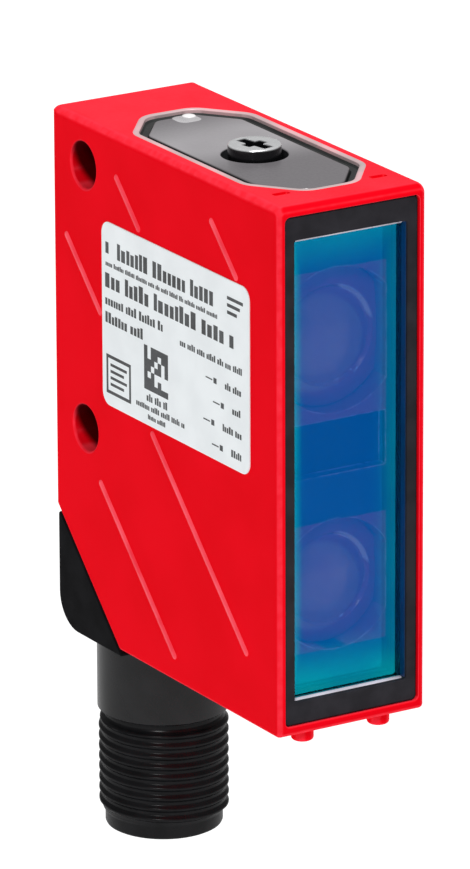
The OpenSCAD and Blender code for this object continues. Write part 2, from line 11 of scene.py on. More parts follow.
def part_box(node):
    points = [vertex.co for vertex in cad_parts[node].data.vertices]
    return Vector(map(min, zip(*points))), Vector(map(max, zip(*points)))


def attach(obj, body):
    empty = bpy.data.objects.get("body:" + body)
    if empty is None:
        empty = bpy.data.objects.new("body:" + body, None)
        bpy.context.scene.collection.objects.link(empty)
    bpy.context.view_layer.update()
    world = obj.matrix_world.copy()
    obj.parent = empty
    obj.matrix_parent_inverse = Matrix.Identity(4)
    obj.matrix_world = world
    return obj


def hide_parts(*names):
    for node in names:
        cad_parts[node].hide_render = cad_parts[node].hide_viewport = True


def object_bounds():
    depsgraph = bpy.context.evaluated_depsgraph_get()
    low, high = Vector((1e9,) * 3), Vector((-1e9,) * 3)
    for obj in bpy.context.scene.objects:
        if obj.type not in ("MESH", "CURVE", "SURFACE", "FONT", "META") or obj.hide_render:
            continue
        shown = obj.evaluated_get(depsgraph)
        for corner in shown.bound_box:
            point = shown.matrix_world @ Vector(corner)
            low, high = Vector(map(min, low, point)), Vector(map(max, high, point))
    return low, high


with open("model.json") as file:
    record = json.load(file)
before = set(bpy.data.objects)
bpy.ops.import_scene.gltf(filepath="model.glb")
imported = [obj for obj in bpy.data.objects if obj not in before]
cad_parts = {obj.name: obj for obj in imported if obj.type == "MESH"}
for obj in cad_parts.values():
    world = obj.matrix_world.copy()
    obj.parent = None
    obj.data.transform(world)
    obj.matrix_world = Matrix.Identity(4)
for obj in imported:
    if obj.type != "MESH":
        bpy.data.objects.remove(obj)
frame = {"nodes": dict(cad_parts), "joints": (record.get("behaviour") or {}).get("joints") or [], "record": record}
CAD_BOX = [list(corner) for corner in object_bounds()]
MM = 0.001


def mm(*values):
    """Several lengths in millimetres, as metres."""
    return tuple(value * MM for value in values)


# ---- Places worked out from the frame ----

housing_low, housing_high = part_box("housing")
frame_low, frame_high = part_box("front_frame")
glass_low, glass_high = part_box("front_glass")
label_low, label_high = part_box("type_label")
cover_low, cover_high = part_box("operating_window")
sleeve_low, sleeve_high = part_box("threaded_sleeve")
spindle_low, spindle_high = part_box("adjusting_spindle")
emitter_low, emitter_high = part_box("emitter_lens")
receiver_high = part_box("receiver_lens")[1]
MOUNTS = {mount["name"]: mount for mount in frame["record"]["mounts"]}
JOINTS = {joint["name"]: joint for joint in frame["joints"]}

BODY_HEIGHT = 48 * MM
HALF_WIDTH = housing_high.x
BODY_DEPTH = housing_high.y - housing_low.y
FRONT_Y = housing_low.y
BOTTOM_Z = housing_high.z - BODY_HEIGHT
CORNER_CUT = 10.9 * MM
SLANT_START = BODY_DEPTH - CORNER_CUT


def depth_of(point):
    """How far a point lies behind the front face."""
    return point.y - FRONT_Y


def height_of(point):
    """How far a point lies above the bottom face."""
    return point.z - BOTTOM_Z


def at(x, depth, height):
    """A point from its place across the width, behind the front face and above the bottom face."""
    return Vector((x, FRONT_Y + depth, BOTTOM_Z + height))


HOLES = MOUNTS["mounting_holes"]
HOLE_RADIUS = HOLES["dims"]["hole_r_mm"] * MM
HOLE_PITCH = HOLES["dims"]["spacing_y_mm"] * MM
HOLE_DEPTH = -FRONT_Y        # the row's origin lies midway between the holes
HOLE_HEIGHTS = [HOLE_PITCH / 2 - BOTTOM_Z, -HOLE_PITCH / 2 - BOTTOM_Z]

RECESS_BASE = BOTTOM_Z + 22.3 * MM
RECESS_TOP = BOTTOM_Z + 27.2 * MM
LENS_HALF = receiver_high.x

PLUG = MOUNTS["plug_thread"]
PLUG_DEPTH = PLUG["pos_m"][1] - FRONT_Y
PLUG_RADIUS = PLUG["dims"]["r_mm"] * MM
PLUG_CENTRE = at(0, PLUG_DEPTH, 0)
SWIVEL_POINT = Vector(JOINTS["connector_swivel"]["pos_m"])
SWIVEL_AXIS = Vector(JOINTS["connector_swivel"]["axis"]).normalized()

SPINDLE_DEPTH = (spindle_low.y + spindle_high.y) / 2 - FRONT_Y
COVER_TOP = height_of(cover_high)
COVER_FRONT, COVER_BACK = depth_of(cover_low), depth_of(cover_high)
COVER_INSET = 0.45 * MM

OVER = 1 * MM        # how far a cutting shape reaches past what it cuts
TOUCH = 0.05 * MM        # a hair of clearance or overlap


# The next three place the points of an outline, as it is seen from that side, in a plane across it.

def from_side(x):
    return lambda depth, height: at(x, depth, height)


def from_front(depth):
    return lambda x, height: at(x, depth, height)


def from_top(height):
    return lambda x, depth: at(x, depth, height)


# ---- Outlines and meshes ----

def sweep(steps, angle=math.pi / 2, first=0.0):
    """Angles in equal steps, from first through an angle, both ends included."""
    return [first + angle * k / steps for k in range(steps + 1)]


def full_turn(steps):
    """Angles in equal steps once around."""
    return [2 * math.pi * k / steps for k in range(steps)]


class Outline:
    """A closed convex outline with rounded corners: its points, outward normals and edge shares."""

    def __init__(self, corners, radii, steps=8):
        count = len(corners)
        radii = radii if isinstance(radii, (list, tuple)) else [radii] * count
        self.points, self.normals, self.shares = [], [], []
        for i, corner in enumerate(corners):
            here = Vector(corner)
            before = (Vector(corners[i - 1]) - here).normalized()
            after = (Vector(corners[(i + 1) % count]) - here).normalized()
            half = before.angle(after) / 2
            centre = here + (before + after).normalized() * (radii[i] / math.sin(half))
            start = here + before * (radii[i] / math.tan(half)) - centre
            first = math.atan2(start.y, start.x)
            for k, angle in enumerate(sweep(steps, math.pi - 2 * half, first)):
                normal = Vector((math.cos(angle), math.sin(angle)))
                self.points.append(centre + normal * radii[i])
                self.normals.append(normal)
                self.shares.append(((i - 1) % count, i, k / steps))

    def ring(self, place, outset=0.0):
        """The outline grown by outset and placed in space."""
        return [place(*(p + n * outset)) for p, n in zip(self.points, self.normals)]


def circle(centre, radius, steps=64):
    """A round outline with one point per step. It has no edges, so it has no edge shares."""
    made = Outline([], 0)
    made.normals = [Vector((math.cos(a), math.sin(a))) for a in full_turn(steps)]
    made.points = [Vector(centre) + n * radius for n in made.normals]
    return made


def rectangle(low, high, radius, steps=6):
    """A rounded rectangle between two corners."""
    corners = [low, (high[0], low[1]), high, (low[0], high[1])]
    return Outline(corners, radius, steps)


def hexagon(centre, across_flats):
    """A hexagon with slightly rounded corners, one of them straight below its centre."""
    reach = across_flats / math.sqrt(3)
    corners = [(centre[0] + reach * math.sin(a), centre[1] - reach * math.cos(a)) for a in full_turn(6)]
    return Outline(corners, 0.25 * MM, 3)


def add(name, data):
    """A new object in the scene."""
    made = bpy.data.objects.new(name, data)
    bpy.context.scene.collection.objects.link(made)
    return made


def object_from(bm, name):
    """A new object with its normals outward, from a bmesh."""
    bmesh.ops.recalc_face_normals(bm, faces=bm.faces)
    mesh = bpy.data.meshes.new(name)
    bm.to_mesh(mesh)
    bm.free()
    return add(name, mesh)


def join(name, parts):
    """One object with the meshes of several."""
    bm = bmesh.new()
    for part in parts:
        bm.from_mesh(part.data)
        bpy.data.objects.remove(part)
    return object_from(bm, name)


def loft(name, rings, hoop=False):
    """A closed skin over rings of equal length, or single points; a hoop joins its last ring to its first."""
    bm = bmesh.new()
    loops = [[bm.verts.new(p) for p in ring] for ring in rings]
    pairs = list(zip(loops, loops[1:]))
    if hoop:
        pairs.append((loops[-1], loops[0]))
    for one, two in pairs:
        count = max(len(one), len(two))
        for i in range(count):
            j = (i + 1) % count
            corners = (one[i % len(one)], one[j % len(one)], two[j % len(two)], two[i % len(two)])
            bm.faces.new(tuple(dict.fromkeys(corners)))
    for end in () if hoop else (loops[0], loops[-1]):
        if len(end) > 1:
            bm.faces.new(end)
    return object_from(bm, name)


def soft_edge(radius, steps=5):
    """(outset, travel) pairs of a rounded rim, from the flat face (travel 0) to the wall (outset 0)."""
    if not radius:
        return [(0, 0)]
    return [(-radius * (1 - math.sin(a)), radius * (1 - math.cos(a))) for a in sweep(steps)]


def slab(name, outline, place, low, high, low_round=0.0, high_round=0.0, steps=5):
    """An outline extruded from low to high, with rounded rims."""
    lower, upper = soft_edge(low_round, steps), reversed(soft_edge(high_round, steps))
    rings = [outline.ring(place(low + travel), outset) for outset, travel in lower]
    rings += [outline.ring(place(high - travel), outset) for outset, travel in upper]
    return loft(name, rings)


def flared(outline, place, face, end, flare, steps=5):
    """A cutting shape that enters a face and leaves a rounded rim there."""
    way = 1 if end > face else -1
    rings = [outline.ring(place(face - way * OVER), flare)]
    for a in sweep(steps):
        rings.append(outline.ring(place(face + way * flare * (1 - math.cos(a))), flare * (1 - math.sin(a))))
    rings.append(outline.ring(place(end)))
    return loft("cutter", rings)


def lathe(name, profile, centre, axis=Vector((0, 0, 1))):
    """A solid turned from a profile of (radius, distance along the axis) points."""
    turn = Vector((0, 0, 1)).rotation_difference(axis).to_matrix()
    rings = []
    for radius, along in profile:
        points = (Vector((radius * math.cos(a), radius * math.sin(a), along)) for a in full_turn(96))
        rings.append([centre + turn @ point for point in points])
    return loft(name, rings)


def on_swivel(profile, name):
    """A turned shape on the swivel axis; distances run from the 45 degree face into the housing."""
    return lathe(name, profile, SWIVEL_POINT, -SWIVEL_AXIS)


def block(name, low, high):
    """A plain cutting block between two corners."""
    corners = [(low.x, low.y), (high.x, low.y), (high.x, high.y), (low.x, high.y)]
    return loft(name, [[Vector((*c, z)) for c in corners] for z in (low.z, high.z)])


def ridge(start, end, radius, height):
    """A low rounded ridge with round ends on the label side."""
    normal, along = Vector((-1, 0, 0)), (end - start).normalized()
    across = normal.cross(along)
    sunk, half_turn, steps, top_share = 0.1 * MM, 12, 5, 0.97
    rim = []
    for centre, first in ((end, -math.pi / 2), (start, math.pi / 2)):
        for a in sweep(half_turn, math.pi, first):
            rim.append((centre, along * math.cos(a) + across * math.sin(a)))
    rings = [[c + d * radius - normal * sunk for c, d in rim]]
    for a in sweep(steps, math.pi / 2 * top_share):
        rings.append([c + d * radius * math.cos(a) + normal * height * math.sin(a) for c, d in rim])
    return loft("rib", rings)


def settle(piece):
    """Applies a piece's modifiers to its mesh."""
    bpy.context.view_layer.update()
    graph = bpy.context.evaluated_depsgraph_get()
    mesh = bpy.data.meshes.new_from_object(piece.evaluated_get(graph))
    piece.modifiers.clear()
    old = piece.data
    piece.data = mesh
    bpy.data.meshes.remove(old)
    mesh.name = piece.name


def combine(piece, *others, operation="DIFFERENCE"):
    """Cuts other shapes from a piece, or joins them to it or keeps what they share."""
    for other in others:
        modifier = piece.modifiers.new("combine", "BOOLEAN")
        modifier.operation = operation
        modifier.solver = "EXACT"
        modifier.object = other
        settle(piece)
        bpy.data.objects.remove(other)


def install(piece, slot, *nodes, body="sensor", finish=None, angle=30):
    """Finishes a piece, and ties it to its body, its slot and the nodes that it stands for.

    Edges sharper than the angle stay sharp, and flat faces stay flat.
    """
    mesh = piece.data
    mesh.polygons.foreach_set("use_smooth", [True] * len(mesh.polygons))
    mesh.set_sharp_from_angle(angle=math.radians(angle))
    piece.modifiers.new("flat faces", "WEIGHTED_NORMAL").keep_sharp = True
    mesh.materials.clear()
    mesh.materials.append(finish or FINISHES[slot])
    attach(piece, body)
    if nodes:
        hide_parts(*nodes)


# ---- Materials ----

class Surface:
    """A material with a Principled shader, and short ways to drive it from patterns in object space."""

    def __init__(self, name, **sockets):
        self.material = bpy.data.materials.new(name)
        self.material.use_nodes = True
        self.tree = self.material.node_tree
        self.shader = self.tree.nodes["Principled BSDF"]
        self.place = self.tree.nodes.new("ShaderNodeTexCoord").outputs["Object"]
        for socket, value in sockets.items():
            self.shader.inputs[socket.replace("_", " ")].default_value = value

    def node(self, kind, output, inputs, **settings):
        """One output of a new node, with its inputs set to values or linked to other outputs."""
        made = self.tree.nodes.new("ShaderNode" + kind)
        for name, value in settings.items():
            setattr(made, name, value)
        for socket, value in inputs.items():
            if isinstance(value, bpy.types.NodeSocket):
                self.tree.links.new(value, made.inputs[socket])
            else:
                made.inputs[socket].default_value = value
        return made.outputs[output]

    def drive(self, socket, source):
        self.tree.links.new(source, self.shader.inputs[socket])

    def paint(self, factor, one, two):
        """The base colour, as a mix of two."""
        self.drive("Base Color", self.mix(factor, one, two))

    def noise(self, size, detail=3.0, stretch=(1, 1, 1)):
        """Noise with features of about this size, in metres."""
        place = self.node("Mapping", "Vector", {"Vector": self.place, "Scale": [s / size for s in stretch]})
        return self.node("TexNoise", "Fac", {"Vector": place, "Scale": 1.0, "Detail": detail})

    def spread(self, source, low, high, to_low=0.0, to_high=1.0):
        """Maps a value smoothly from one range to another."""
        inputs = {"Value": source, "From Min": low, "From Max": high, "To Min": to_low, "To Max": to_high}
        return self.node("MapRange", "Result", inputs, interpolation_type="SMOOTHSTEP")

    def fade(self, source, low, high):
        """1 up to the low value, 0 from the high one."""
        return self.spread(source, low, high, 1.0, 0.0)

    def patches(self, size, low=0.3, high=0.7, to_low=0.0, to_high=1.0, detail=3.0):
        """Soft patches of about this size: low and high set how sharp they are, the rest their values."""
        return self.spread(self.noise(size, detail), low, high, to_low, to_high)

    def math(self, operation, *values):
        return self.node("Math", "Value", dict(enumerate(values)), operation=operation)

    def times(self, *sources):
        return reduce(lambda one, two: self.math("MULTIPLY", one, two), sources)

    def largest(self, *sources):
        return reduce(lambda one, two: self.math("MAXIMUM", one, two), sources)

    def distance(self, one, two):
        """How far from the origin a point with these two coordinates lies."""
        return self.math("SQRT", self.math("ADD", self.times(one, one), self.times(two, two)))

    def axis(self, name, place=None):
        """One coordinate of a vector, by default of the point in the row frame, in metres."""
        return self.node("SeparateXYZ", name, {"Vector": place or self.place})

    def mix(self, factor, one, two):
        """A colour between two, each a colour or a socket."""
        one, two = ((*tone, 1) if isinstance(tone, tuple) else tone for tone in (one, two))
        return self.node("Mix", 2, {0: factor, 6: one, 7: two}, data_type="RGBA")

    def normal(self):
        return self.node("NewGeometry", "Normal", {})

    def dot(self, one, two):
        return self.node("VectorMath", "Value", {0: one, 1: two}, operation="DOT_PRODUCT")

    def edges(self, radius):
        """1 on edges and corners, 0 on open surfaces."""
        rounded = self.node("Bevel", "Normal", {"Radius": radius}, samples=6)
        return self.spread(self.dot(rounded, self.normal()), 0.995, 0.86)

    def edge_wear_and_highlight(self, radius, size, low, high, to_low, to_high):
        """Edges in patches, used both as scuffed edges and as painted edge highlights."""
        return self.times(self.edges(radius), self.patches(size, low, high, to_low, to_high))

    def facing_up(self):
        """1 on faces that look straight up."""
        return self.spread(self.axis("Z", self.normal()), 0.8, 0.98)

    def rounds(self):
        """1 where a face turns between the six upright sides and the 45 degree face, 0 on those sides."""
        normal = self.normal()
        shares = [self.dot(normal, SWIVEL_AXIS)] + [self.axis(name, normal) for name in "XYZ"]
        return self.spread(self.largest(*(self.math("ABSOLUTE", share) for share in shares)), 0.99, 0.88)

    def grain(self, size, rough, height, low=0.25, high=0.75, stretch=(1, 1, 1)):
        """Fine noise that drives both the roughness, between two values, and a bump."""
        fine = self.noise(size, 2.0, stretch)
        self.drive("Roughness", self.spread(fine, low, high, *rough))
        bump = {"Strength": 1.0, "Distance": height, "Height": fine}
        self.drive("Normal", self.node("Bump", "Normal", bump))


def moulded(name, dark, light, rough, grain=0.12 * MM, height=0.004 * MM, patch=4 * MM, **sockets):
    """A moulded, cast or coated surface: two tones in soft patches, with fine grain."""
    made = Surface(name, **sockets)
    made.paint(made.patches(patch), dark, light)
    made.grain(grain, rough, height)
    return made.material


def red_lacquer():
    """Satin red coating with a faint orange peel, a painted highlight on its rounded edges, a painted sheen on its
    upward faces and painted shade in its bores.
    """
    made = Surface("red_lacquer", IOR=1.04)
    tone = made.mix(made.patches(9 * MM, detail=2.0), (0.78, 0.0012, 0.0075), (0.83, 0.0018, 0.010))
    # Painted sheen: upward faces are paler, as under the light overhead.
    top_sheen = made.times(made.facing_up(), made.patches(5 * MM, to_low=0.75, detail=2.0))
    # Painted highlight: the rounded edges are a paler pink, as where they catch the light.
    rounded_edge_highlight = made.times(made.rounds(), made.patches(0.9 * MM, to_low=0.35, to_high=0.65))
    outside = made.mix(rounded_edge_highlight, made.mix(top_sheen, tone, (0.81, 0.026, 0.044)), (0.97, 0.045, 0.075))
    from_hole = made.math("SUBTRACT", made.math("ABSOLUTE", made.axis("Z")), HOLE_PITCH / 2)
    away = made.distance(from_hole, made.axis("Y"))
    in_bore = made.fade(away, HOLE_RADIUS + 0.05 * MM, HOLE_RADIUS + 0.25 * MM)
    # The shade starts deeper on the lower side of each bore, which light from above reaches.
    upward, tilt = made.times(from_hole, made.math("SIGN", made.axis("Z"))), 0.45
    inward = made.math("ADD", made.axis("X"), made.times(upward, tilt))
    deep = made.spread(inward, -HALF_WIDTH + 0.05 * MM, -HALF_WIDTH + 1.0 * MM, 0.0, 0.95)
    made.paint(made.times(in_bore, deep), outside, (0.02, 0.0, 0.0002))
    made.grain(0.45 * MM, (0.34, 0.44), 0.003 * MM, 0.3, 0.7)
    return made.material


def black_plastic(name, dark, light, edge, rough, height, **sockets):
    """Glass filled black plastic with grey scuffed edges."""
    made = Surface(name, **sockets)
    base = made.mix(made.patches(2.5 * MM), dark, light)
    made.paint(made.edge_wear_and_highlight(0.12 * MM, 0.5 * MM, 0.4, 0.6, 0.1, 0.5), base, edge)
    made.grain(0.1 * MM, rough, height)
    return made


def plug_plastic(name, **sockets):
    """The plastic of the connector."""
    return black_plastic(
        name, (0.0045, 0.0045, 0.005), (0.008, 0.008, 0.009), (0.03, 0.03, 0.033), (0.34, 0.46), 0.003 * MM,
        IOR=1.05, Coat_Roughness=0.24, **sockets)


def elbow_plastic():
    """Dull on the wedge, with a sheen on the neck below it."""
    made = plug_plastic("plug_black")
    sheen = made.spread(made.axis("Z"), BOTTOM_Z - 1.2 * MM, BOTTOM_Z - 0.7 * MM, 0.45, 0.0)
    made.drive("Coat Weight", sheen)
    return made.material


def coated_glass():
    """Blue anti-reflection glass: deep blue, with a painted teal reflection towards its ends and sides."""
    made = Surface("coated_glass", Metallic=1.0, Alpha=0.45)
    height, across = made.axis("Z"), made.axis("X")
    zones = [
        made.fade(height, glass_low.z + 0.3 * MM, glass_low.z + 6 * MM),
        made.spread(height, glass_high.z - 5 * MM, glass_high.z - 0.3 * MM, 0.0, 0.6),
        made.fade(across, glass_low.x + 0.75 * MM, glass_low.x + 1.9 * MM),
        made.spread(across, glass_high.x - 3 * MM, glass_high.x - 1.2 * MM, 0.0, 0.45),
    ]
    # Painted reflection: teal towards the ends and sides of the pane.
    teal = made.times(made.largest(*zones), made.patches(5 * MM, 0.2, 0.8, 0.8, 1.1))
    made.paint(teal, (0.0, 0.105, 0.42), (0.0, 0.44, 0.55))
    made.drive("Roughness", made.patches(3 * MM, to_low=0.04, to_high=0.09))
    return made.material


def violet_lens(name, centre_z, dome):
    """Moulded lens with a violet coating, a paler middle of painted light and a bright streak of painted highlight
    along its step.
    """
    made = Surface(name, Specular_IOR_Level=0.7, Coat_Weight=0.6, Coat_Roughness=0.05)
    x = made.axis("X")
    z = made.math("SUBTRACT", made.axis("Z"), centre_z)
    away = made.distance(x, z)
    # Painted light: a paler patchy disc in the middle.
    off_centre = made.distance(made.math("ADD", x, 1.0 * MM), made.math("ADD", z, 0.5 * MM))
    middle = made.fade(off_centre, 0.95 * dome, 1.12 * dome)
    painted_middle_light = made.times(middle, made.patches(2 * MM, to_low=0.75))
    body = made.mix(painted_middle_light, (0.46, 0.02, 0.34), (0.60, 0.28, 0.44))
    # Painted highlight: a near white streak along the step, on its upper right.
    outer = made.fade(away, dome + 0.3 * MM, dome + 0.55 * MM)
    step = made.times(made.spread(away, dome - 0.05 * MM, dome + 0.15 * MM), outer)
    upper_right = made.spread(made.math("ADD", x, z), 1.22 * dome, 1.36 * dome)
    lit = made.largest(upper_right, made.patches(1.6 * MM, 0.58, 0.66))
    streak = made.times(step, lit, made.spread(x, 0.5 * MM, 1.5 * MM))
    made.paint(streak, body, (1.0, 0.85, 1.0))
    made.drive("Roughness", made.patches(1.2 * MM, to_low=0.12, to_high=0.25))
    return made.material


def smoked_cover():
    """Grey translucent cover with a satin face, a paler band of painted reflection across it and a dark border
    below its rim, part dark edge and part painted shade.
    """
    made = Surface("smoked_cover", Specular_IOR_Level=0.5, Coat_Weight=0.2, Coat_Roughness=0.15, Alpha=0.93)
    # Painted reflection: a paler patchy band across the plate around this depth.
    reflected_band_depth = FRONT_Y + 21 * MM
    beside = made.math("ABSOLUTE", made.math("SUBTRACT", made.axis("Y"), reflected_band_depth))
    painted_reflection = made.times(made.fade(beside, 1 * MM, 9 * MM),
                        made.patches(6 * MM, 0.2, 0.8, 0.8, 1.1, detail=1.0))
    tone = made.mix(painted_reflection, (0.15, 0.14, 0.15), (0.36, 0.345, 0.36))
    # Near black below the rim: partly a dark edge, partly painted shade of the groove.
    border = made.fade(made.axis("Z"), cover_high.z - 0.17 * MM, cover_high.z - 0.04 * MM)
    made.paint(border, tone, (0.03, 0.032, 0.034))
    made.grain(0.3 * MM, (0.28, 0.38), 0.0008 * MM, 0.3, 0.7)
    return made.material


def turned_metal(name, tone, rough=(0.22, 0.4), metallic=1.0, painted_shade_below=None):
    """Plated metal with fine turning marks and dull patches; below a given top height it can carry painted shade,
    near black.
    """
    made = Surface(name, Metallic=metallic)
    base = made.mix(made.noise(0.6 * MM), tuple(0.75 * c for c in tone), tone)
    if painted_shade_below is not None:
        # Painted shade: the sides and the slot under the top are near black.
        below = made.fade(made.axis("Z"), painted_shade_below - 0.2 * MM, painted_shade_below - 0.06 * MM)
        base = made.mix(below, base, (0.012, 0.012, 0.014))
    made.drive("Base Color", base)
    made.grain(0.05 * MM, rough, 0.0005 * MM, stretch=(0.15, 0.15, 1.0))
    return made.material


def carrier_moulding():
    """Black inner block: a painted violet sheen around the lenses, painted shade in the recess between them and
    painted pale highlights on its edges.
    """
    made = Surface("optics_black", Specular_IOR_Level=0.3)
    height, across = made.axis("Z"), made.math("ABSOLUTE", made.axis("X"))
    base = made.mix(made.patches(3 * MM), (0.004, 0.05, 0.13), (0.006, 0.07, 0.17))
    inside = made.fade(across, LENS_HALF, LENS_HALF + 0.15 * MM)
    # Painted sheen and painted shade: violet round the lenses, near black in the recess between them.
    violet, shadow, soft = (0.34, 0.008, 0.24), (0.002, 0.002, 0.008), 0.1 * MM
    zones = (
        (RECESS_TOP, receiver_high.z, violet),
        (emitter_low.z, emitter_high.z, violet),
        (RECESS_BASE, RECESS_TOP, shadow),
    )
    for low, high, tone in zones:
        above = made.spread(height, low, low + soft)
        below = made.fade(height, high - soft, high)
        base = made.mix(made.times(inside, above, below), base, tone)
    # Painted highlight: pale violet along the edges.
    pale_edge_highlight = made.edge_wear_and_highlight(0.3 * MM, 1.5 * MM, 0.35, 0.6, 0.0, 0.7)
    made.paint(pale_edge_highlight, base, (0.75, 0.55, 0.85))
    made.grain(0.12 * MM, (0.4, 0.6), 0.001 * MM)
    return made.material


# Slots with a plain moulded surface: its two tones and its range of roughness.
PLAIN = {
    "led_lens": ((0.40, 0.05, 0.05), (0.52, 0.08, 0.07), (0.12, 0.2)),
    "circuit_board": ((0.010, 0.11, 0.035), (0.02, 0.17, 0.05), (0.3, 0.45)),
    "chip_black": ((0.015, 0.015, 0.017), (0.03, 0.03, 0.032), (0.45, 0.6)),
    "carriage_plastic": ((0.025, 0.025, 0.032), (0.04, 0.04, 0.05), (0.45, 0.6)),
    "flex_film": ((0.36, 0.13, 0.02), (0.50, 0.20, 0.03), (0.25, 0.4)),
    "green_lamp": ((0.05, 0.38, 0.08), (0.08, 0.48, 0.12), (0.2, 0.3)),
    "yellow_lamp": ((0.65, 0.38, 0.03), (0.78, 0.48, 0.05), (0.2, 0.3)),
    "washer_plastic": ((0.55, 0.57, 0.60), (0.64, 0.66, 0.69), (0.35, 0.5)),
    "wire_skin": ((0.20, 0.075, 0.02), (0.30, 0.12, 0.03), (0.4, 0.55)),
    "seal_rubber": ((0.010, 0.012, 0.012), (0.02, 0.022, 0.022), (0.5, 0.7)),
}
SMOOTH = 0.001 * MM
GLASS = coated_glass()
FINISHES = {slot: moulded(slot, *surface) for slot, surface in PLAIN.items()}
FINISHES.update({
    "red_lacquer": red_lacquer(),
    "black_frame": black_plastic(
        "frame_black", (0.0152, 0.0144, 0.0176), (0.02375, 0.0225, 0.0275), (0.045, 0.045, 0.048),
        (0.38, 0.52), 0.004 * MM, Specular_IOR_Level=0.06).material,
    "black_plastic": elbow_plastic(),
    "coated_glass": GLASS,
    "lens_plastic": GLASS,
    "optics_black": carrier_moulding(),
    "smoked_cover": smoked_cover(),
    "nickel": turned_metal("nickel", (0.86, 0.87, 0.88), (0.2, 0.3), metallic=0.6, painted_shade_below=spindle_high.z),
    "steel": turned_metal("steel", (0.50, 0.50, 0.52)),
    "contact_gold": turned_metal("contact_gold", (0.78, 0.55, 0.20)),
    "label_film": moulded("label_film", (0.76, 0.80, 0.82), (0.82, 0.86, 0.88), (0.32, 0.45), height=SMOOTH),
    "grey_silicone": moulded(
        "grey_silicone", (0.42, 0.35, 0.35), (0.74, 0.42, 0.44), (0.3, 0.45), height=SMOOTH, patch=6 * MM),
    "guide_clear": moulded("light_guide", (0.36, 0.35, 0.36), (0.50, 0.49, 0.50), (0.2, 0.3), height=SMOOTH),
})
# Painted highlight: the ribs on the label side are a paler pink than the housing.
RIB_HIGHLIGHT = moulded("rubbed_red", (0.87, 0.035, 0.06), (0.97, 0.085, 0.12), (0.32, 0.42), Specular_IOR_Level=0.1)
SLEEVE_BLACK = plug_plastic("sleeve_black", Coat_Weight=0.18).material
INK = moulded("label_ink", (0.018, 0.02, 0.022), (0.05, 0.055, 0.06), (0.45, 0.6), height=SMOOTH)
# Painted highlight: pale lilac lines at the ends of the glass.
HIGHLIGHT_BEAD = moulded("glass_bead", (0.50, 0.47, 0.52), (0.66, 0.62, 0.70), (0.15, 0.3))
# Painted reflection: dark blue on the walls beside the glass.
WALL_REFLECTION = moulded("blue_adhesive", (0.0, 0.02, 0.09), (0.0, 0.03, 0.13), (0.3, 0.5), height=SMOOTH)
LAMP_TIP = moulded("lamp_tip", (0.74, 0.72, 0.72), (0.88, 0.86, 0.86), (0.12, 0.22), height=SMOOTH)


def finish_frame_nodes():
    """Gives every CAD node the material of its slot. New pieces replace some of them below."""
    for part in frame["record"]["subparts"]:
        node = frame["nodes"][part["node"]]
        node.data.materials.clear()
        node.data.materials.append(FINISHES[part["material_slot"]])


# ---- Housing ----

# The side outline runs bottom, slant, back, top, front; its corners start at the lower front.
EDGE_ROUNDS = mm(0.35, 0.3, 0.4, 0.9, 0.6)
CORNER_ROUNDS = mm(0.6, 0.4, 0.6, 0.4, 0.9)
SIDE_WALL, FLOOR_WALL, ROOF_WALL, BACK_WALL, SLANT_WALL = mm(1.2, 1.5, 2, 1.4, 2.2)
ROOF_UNDER = BODY_HEIGHT - ROOF_WALL
FRAME_FACE, FRAME_BACK = depth_of(frame_low), depth_of(frame_high)
FRAME_BASE, FRAME_TOP = height_of(frame_low), height_of(frame_high)
FRAME_HALF = frame_high.x


def housing_body():
    """The outer form: a side outline swept across the width, with its own radius on each edge."""
    corners = [
        (0, 0), (SLANT_START, 0), (BODY_DEPTH, CORNER_CUT), (BODY_DEPTH, BODY_HEIGHT), (0, BODY_HEIGHT),
    ]
    outline = Outline(corners, CORNER_ROUNDS)
    turns = sweep(6)
    rings = []
    for side, turn in [(-1, turn) for turn in reversed(turns)] + [(1, turn) for turn in turns]:
        ring = []
        for point, normal, (before, after, share) in zip(outline.points, outline.normals, outline.shares):
            radius = EDGE_ROUNDS[before] * (1 - share) + EDGE_ROUNDS[after] * share
            u, v = point - normal * radius * (1 - math.cos(turn))
            ring.append(at(side * (HALF_WIDTH - radius * (1 - math.sin(turn))), u, v))
        rings.append(ring)
    return loft("housing_shell", rings)


def housing_cavity():
    """The space inside, with the tubes of the mounting holes and the bosses of the nut pockets left out."""
    inner_slant = SLANT_START - SLANT_WALL * math.sqrt(2)
    inner_back = BODY_DEPTH - BACK_WALL
    corners = [
        (FRAME_BACK - OVER, FLOOR_WALL), (inner_slant + FLOOR_WALL, FLOOR_WALL),
        (inner_back, inner_back - inner_slant), (inner_back, ROOF_UNDER), (FRAME_BACK - OVER, ROOF_UNDER),
    ]
    inner = HALF_WIDTH - SIDE_WALL
    cavity = slab("cavity", Outline(corners, 0.3 * MM, 3), from_side, -inner, inner)
    tube, boss, boss_length = mm(3.3, 4.8, 4.6)
    for height in HOLE_HEIGHTS:
        place = (HOLE_DEPTH, height)
        combine(cavity,
                slab("tube", circle(place, tube), from_side, -HALF_WIDTH, HALF_WIDTH),
                slab("boss", circle(place, boss), from_side, HALF_WIDTH - boss_length, HALF_WIDTH))
    return cavity


def window_outline(inset=0.0):
    """The long octagon of the operating window, seen from above, drawn in by inset."""
    half, front, back = cover_high.x + COVER_INSET, COVER_FRONT - COVER_INSET, COVER_BACK + COVER_INSET
    across, along, radius = mm(3.5, 4.4, 2.4)
    corners = [
        (-half + across, front), (half - across, front), (half, front + along), (half, back - along),
        (half - across, back), (-half + across, back), (-half, back - along), (-half, front + along),
    ]
    made = Outline(corners, radius, 8)
    made.points = [p - n * inset for p, n in zip(made.points, made.normals)]
    return made


def window_loft(name, stations, hoop=False):
    """A skin over the window's outline at several stations, each an inset and a height."""
    return loft(name, [window_outline(inset).ring(from_top(height)) for inset, height in stations], hoop)


